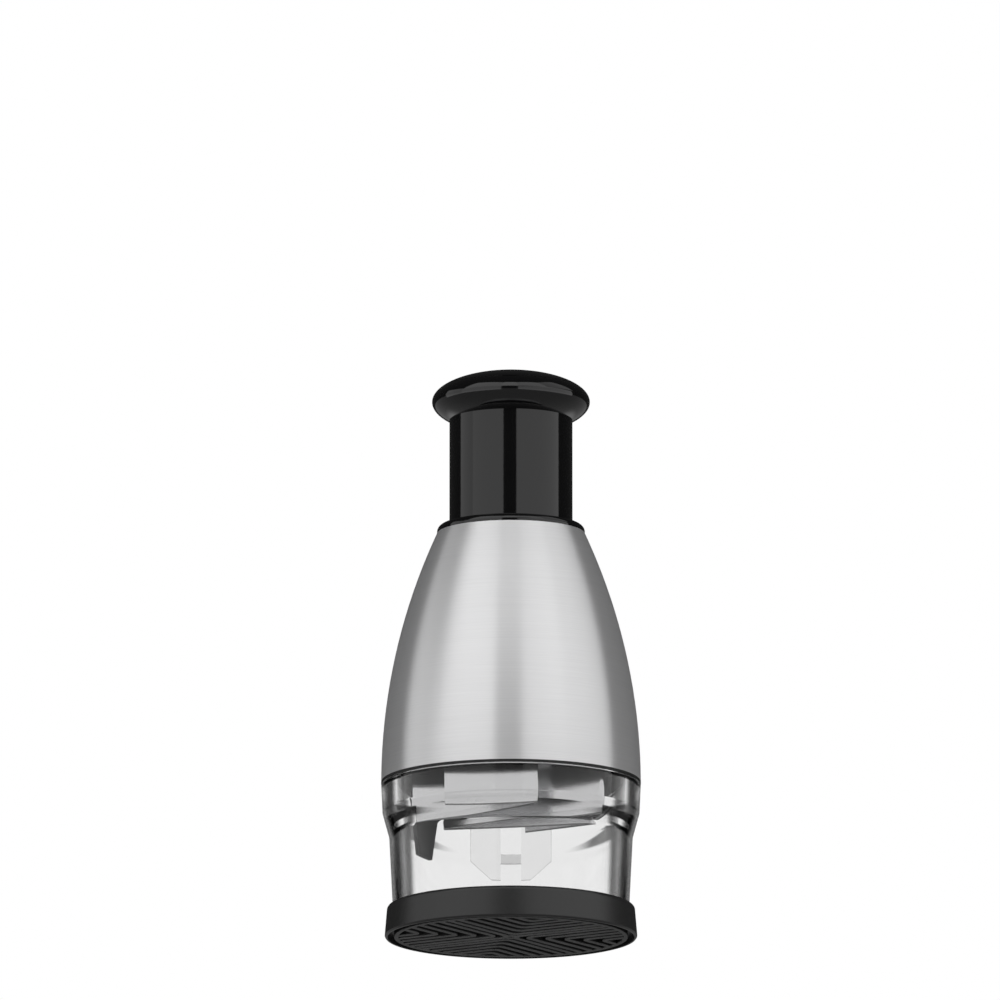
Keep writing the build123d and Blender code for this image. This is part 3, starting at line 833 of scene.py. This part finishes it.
bpy.ops.object.mode_set(mode="EDIT")
bpy.ops.mesh.select_mode(type="EDGE")
bpy.ops.mesh.select_all(action="DESELECT")
end_edit()
for edge in strip.data.edges:
    edge.select = at_fold(edge)
bpy.ops.object.mode_set(mode="EDIT")
bpy.ops.mesh.bevel(offset=fold_round, segments=fold_segments, affect="EDGES")
end_edit()
thick = strip.vertex_groups.new(name="thick")
upper = [vertex.index for vertex in strip.data.vertices if vertex.co.z > blade_low + bevel_height / 2]
thick.add(upper, 1.0, "REPLACE")
modify(
    strip,
    "SOLIDIFY",
    thickness=sheet,
    offset=0.0,
    use_even_offset=True,
    vertex_group="thick",
    thickness_vertex_group=cutting_edge / sheet,
)
bpy.ops.object.mode_set(mode="EDIT")
merge_and_face_out()
end_edit()
bpy.ops.object.shade_smooth_by_angle(angle=radians(25))
hand_over(strip, "folded_blade", "blade_rotor", "blade_steel", "zigzag_blade")

# %% [markdown]
# ## The return spring
#
# The solid spring climbs evenly from end to end. A real compression spring has a closed turn at each end,
# ground flat so that it stands square. The wire follows a curve whose pitch eases from closed to open and
# back, and a bisect cuts each end flat. It rides on the bell, and the share of its height that it keeps with
# the plunger down is worked out.

# %% Wind the spring
wire_radius = 0.9 * MM
wire_turns = 9
wire_gap = 0.02 * wire_radius
wire_roundness = 6
closed_turns = 0.5
easing_turns = 1.0
ground_depth = 0.45 * MM
points_per_turn = 32
spring_low, spring_high = (corner.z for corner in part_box("return_spring"))
coil_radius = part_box("return_spring")[1].x - wire_radius


def openness(turn):
    """How open the coil is at this turn: 0 at its closed ends, 1 in its middle."""
    from_end = min(turn, wire_turns - turn)
    share = min(max((from_end - closed_turns) / easing_turns, 0.0), 1.0)
    return share * share * (3 - 2 * share)


steps = points_per_turn * wire_turns
closed_pitch = 2 * wire_radius + wire_gap
coil_height = spring_high - spring_low - 2 * wire_radius + 2 * ground_depth
open_steps = [openness((index + 0.5) / points_per_turn) for index in range(steps)]
open_pitch = (coil_height - closed_pitch * wire_turns) / sum(open_steps) * points_per_turn
coil_level = spring_low + wire_radius - ground_depth
coil = bpy.data.curves.new("spring", "CURVE")
coil.dimensions = "3D"
coil.bevel_depth = wire_radius
coil.bevel_resolution = wire_roundness
coil.resolution_u = 1
coil.use_fill_caps = True
line = coil.splines.new("POLY")
line.points.add(steps)
for index in range(steps + 1):
    angle = tau * index / points_per_turn
    line.points[index].co = (coil_radius * cos(angle), coil_radius * sin(angle), coil_level, 1)
    if index < steps:
        coil_level += (closed_pitch + open_pitch * open_steps[index]) / points_per_turn
spring = bpy.data.objects.new("spring", coil)
bpy.context.scene.collection.objects.link(spring)
bpy.ops.object.select_all(action="DESELECT")
spring.select_set(True)
bpy.context.view_layer.objects.active = spring
bpy.ops.object.convert(target="MESH")
bpy.ops.object.mode_set(mode="EDIT")
merge_and_face_out()
end_edit()
print("the open turns climb", round((closed_pitch + open_pitch) / MM, 2), "mm a turn")

# %% Grind the spring's ends
seat_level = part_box("spring_seat")[1].z
press = next(joint for joint in frame["joints"] if joint["name"] == "press")
stroke = -press["range_m"][0]
kept_share = (spring_high - stroke - seat_level) / (spring_high - seat_level)

bpy.ops.object.mode_set(mode="EDIT")
for level, side in ((spring_low, -1), (spring_high, 1)):
    bpy.ops.mesh.select_all(action="SELECT")
    bpy.ops.mesh.bisect(
        plane_co=(0, 0, level),
        plane_no=(0, 0, side),
        use_fill=True,
        clear_outer=True,
        threshold=merge_distance,
    )
merge_and_face_out()
spring = end_edit()
bpy.ops.object.shade_smooth_by_angle(angle=radians(40))
hand_over(spring, "wound_spring", "housing", "spring_steel", "return_spring")
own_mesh(spring)
print("pressed, the spring keeps", round(kept_share, 3), "of its height")

# %% [markdown]
# ## The clear cup
#
# Each facet of a clear wall bends light its own way, so the facets of a solid that pass on black plastic
# show as a ragged line here. The cup is therefore turned again, much finer. A ring of edges is extruded and
# scaled through the wall's outline, whose rounds are short curves, and its end is merged with its start.

# %% Draw the cup's outline
cup_sides = 256
round_steps = 6
# In millimetres: the level of the neck's foot, then the radius, level and round of each corner
neck_foot = 55.2
cup_corners = (
    (39.0, 4.0, 0.3),
    (41.6, 4.0, 0.3),
    (43.2, 36.0, 8.0),
    (45.6, 44.7, 3.0),
    (46.1, neck_foot, 0.9),
    (42.0, neck_foot, 0.0),
    (42.0, 60.8, 0.3),
    (40.6, 60.8, 0.3),
    (40.6, 46.0, 1.0),
    (39.9, 43.6, 1.0),
)


def round_corner(before, corner, after, radius):
    """Points of a curve that cuts a corner off, as far out as a round of this radius would."""
    to_before = (before - corner).normalized()
    to_after = (after - corner).normalized()
    half_turn = to_before.angle(to_after) / 2
    cut = radius * cos(half_turn) / sin(half_turn)
    points = []
    for index in range(round_steps + 1):
        share = index / round_steps
        points.append(corner + (1 - share) ** 2 * cut * to_before + share ** 2 * cut * to_after)
    return points


def rounded(corners):
    """A closed outline with its corners rounded, as points of radius and level."""
    places = [Vector(corner[:2]) * MM for corner in corners]
    rounds = [corner[2] * MM for corner in corners]
    outline = []
    for index, place in enumerate(places):
        after = places[(index + 1) % len(places)]
        if rounds[index]:
            outline += round_corner(places[index - 1], place, after, rounds[index])
        else:
            outline.append(place)
    return outline


cup_outline = rounded(cup_corners)
print("the cup's outline has", len(cup_outline), "points")

# %% Turn the cup


def draw_on(radius, level, outline):
    """Extrudes and scales what is selected through an outline of radii and levels."""
    for next_radius, next_level in outline:
        extrude_by((0, 0, next_level - level))
        scale = next_radius / radius
        bpy.ops.transform.resize(value=(scale, scale, 1), center_override=(0, 0, next_level))
        radius, level = next_radius, next_level


def turned_wall(sides, outline):
    """A round wall whose section is a closed outline."""
    radius, level = outline[0]
    bpy.ops.object.select_all(action="DESELECT")
    bpy.ops.mesh.primitive_circle_add(vertices=sides, radius=radius, location=(0, 0, level))
    bpy.ops.object.transform_apply(location=True)
    bpy.ops.object.mode_set(mode="EDIT")
    bpy.ops.mesh.select_mode(type="EDGE")
    bpy.ops.mesh.select_all(action="SELECT")
    draw_on(radius, level, outline[1:] + outline[:1])
    merge_and_face_out()
    return end_edit()


clear_cup = turned_wall(cup_sides, cup_outline)
print("the turned cup has", len(clear_cup.data.polygons), "faces")

# %% [markdown]
# ## The cup's windows and keyway
#
# The neck is cut away left and right, which a Boolean modifier does with one long block. On the far wall two
# pads with a bar between them are moulded on. They start as blocks, each with its foot extruded and drawn
# in. What a thin round wall and the blocks share is the keyway with its curved faces, and it is added to the
# cup.

# %% Cut the windows
window_width = 26.2 * MM
window_turn = radians(7.8)
spare = 1.0 * MM


def block(low, high):
    """A block between two opposite corners."""
    low, high = Vector(low), Vector(high)
    bpy.ops.object.select_all(action="DESELECT")
    bpy.ops.mesh.primitive_cube_add(size=1, location=(low + high) / 2)
    made = bpy.context.object
    made.scale = high - low
    bpy.ops.object.transform_apply(location=True, scale=True)
    return made


def combine(piece, operation, tool):
    """Cuts, adds or intersects a piece with a tool, which is used up."""
    bpy.context.view_layer.objects.active = piece
    modify(piece, "BOOLEAN", operation=operation, solver="EXACT", object=tool)
    bpy.data.objects.remove(tool)


cup_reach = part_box("cup")[1]
window_low = (-cup_reach.x, -window_width / 2, neck_foot * MM)
window_high = (cup_reach.x, window_width / 2, cup_reach.z + spare)
window = block(window_low, window_high)
window.rotation_euler = (0, 0, window_turn)
bpy.ops.object.transform_apply(rotation=True)
combine(clear_cup, "DIFFERENCE", window)
print("with its windows the cup has", len(clear_cup.data.polygons), "faces")

# %% Add the keyway
block_near = 34.0 * MM
pad_face = 38.6 * MM
pad_root = 41.3 * MM
pad_inner = 3.85 * MM
pad_outer = 15.0 * MM
pad_foot = 7.2 * MM
pad_low = 31.2 * MM
pad_side = 36.8 * MM
pad_high = 53.8 * MM
bar_low = 36.5 * MM
bar_high = 39.5 * MM


def edit_faces(piece, chosen):
    """Starts to edit a piece with only its chosen faces selected."""
    bpy.ops.object.mode_set(mode="EDIT")
    bpy.ops.mesh.select_mode(type="FACE")
    bpy.ops.mesh.select_all(action="DESELECT")
    end_edit()
    for face in piece.data.polygons:
        face.select = chosen(face)
    bpy.ops.object.mode_set(mode="EDIT")


def pad(side):
    """One pad's block, right or left of the channel, with its foot drawn in."""
    left, right = sorted((side * pad_inner, side * pad_outer))
    made = block((left, block_near, pad_side), (right, pad_root + spare, pad_high))
    edit_faces(made, lambda face: face.normal.z < -0.5)
    extrude_by((0, 0, pad_low - pad_side))
    scale = (pad_foot - pad_inner) / (pad_outer - pad_inner)
    bpy.ops.transform.resize(value=(scale, 1, 1), center_override=(side * pad_inner, 0, pad_low))
    return end_edit()


wall_low = pad_low - spare
wall_high = pad_high + spare
wall_outline = [(pad_face, wall_low), (pad_root, wall_low), (pad_root, wall_high), (pad_face, wall_high)]
keyway = turned_wall(cup_sides, wall_outline)
blocks = pad(1)
combine(blocks, "UNION", pad(-1))
bar_end = (pad_foot + pad_inner) / 2
bar = block((-bar_end, block_near, bar_low), (bar_end, pad_root + spare, bar_high))
combine(blocks, "UNION", bar)
combine(keyway, "INTERSECT", blocks)
combine(clear_cup, "UNION", keyway)
clear_cup.select_set(True)
bpy.ops.object.shade_smooth_by_angle(angle=radians(20))
hand_over(clear_cup, "clear_cup", "cup", "clear_plastic", "cup")

# %% [markdown]
# ## The screws
#
# Two screws hold the spindle: a countersunk one under the blade's carrier and a pan-headed one under the
# knob. Their solids are plain. A real head has a cross recess for the driver. The shank is a cylinder whose
# end face is drawn on through the head's outline, as on a lathe, and two blocks cut the cross.

# %% Turn and slot the screws
screw_sides = 48
shank_radius = 1.7 * MM
pan_height = 2.4 * MM
slot_width = 1.0 * MM
slot_length = 3.8 * MM
slot_depth = 1.1 * MM
head_steps = 6


def turned_screw(tip, seat, outline):
    """A shank from its tip to its seat, drawn on through the outline of its head."""
    middle = (0, 0, (tip + seat) / 2)
    bpy.ops.object.select_all(action="DESELECT")
    bpy.ops.mesh.primitive_cylinder_add(
        vertices=screw_sides, radius=shank_radius, depth=abs(seat - tip), location=middle
    )
    bpy.ops.object.transform_apply(location=True)
    edit_faces(bpy.context.object, lambda face: abs(face.center.z - seat) < same_place)
    draw_on(shank_radius, seat, outline)
    merge_and_face_out()
    return end_edit()


def cut_cross(screw, crown):
    """Cuts two crossed slots into a head at its crown."""
    for length, width in ((slot_length, slot_width), (slot_width, slot_length)):
        half = Vector((length / 2, width / 2, slot_depth))
        middle = Vector((0, 0, crown))
        combine(screw, "DIFFERENCE", block(middle - half, middle + half))
    screw.select_set(True)
    bpy.ops.object.shade_smooth_by_angle(angle=radians(30))


def pan_outline(head_radius, seat, crown):
    """A flat seat, a short wall and a quarter oval up to a flat crown."""
    flat_radius = head_radius / 3
    wall_top = (seat + crown) / 2
    outline = [(head_radius, seat), (head_radius, wall_top)]
    for index in range(1, head_steps + 1):
        angle = pi / 2 * index / head_steps
        radius = flat_radius + (head_radius - flat_radius) * cos(angle)
        outline.append((radius, wall_top + (crown - wall_top) * sin(angle)))
    return outline


low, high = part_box("carrier_screw")
sunk_seat = low.z + high.x - shank_radius
sunk_screw = turned_screw(high.z, sunk_seat, [(high.x, low.z)])
cut_cross(sunk_screw, low.z)
hand_over(sunk_screw, "sunk_screw", "blade_rotor", "fastener_steel", "carrier_screw")
low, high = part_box("spindle_screw")
pan_seat = high.z - pan_height
pan_screw = turned_screw(low.z, pan_seat, pan_outline(high.x, pan_seat, high.z))
cut_cross(pan_screw, high.z)
hand_over(pan_screw, "pan_screw", "blade_rotor", "fastener_steel", "spindle_screw")
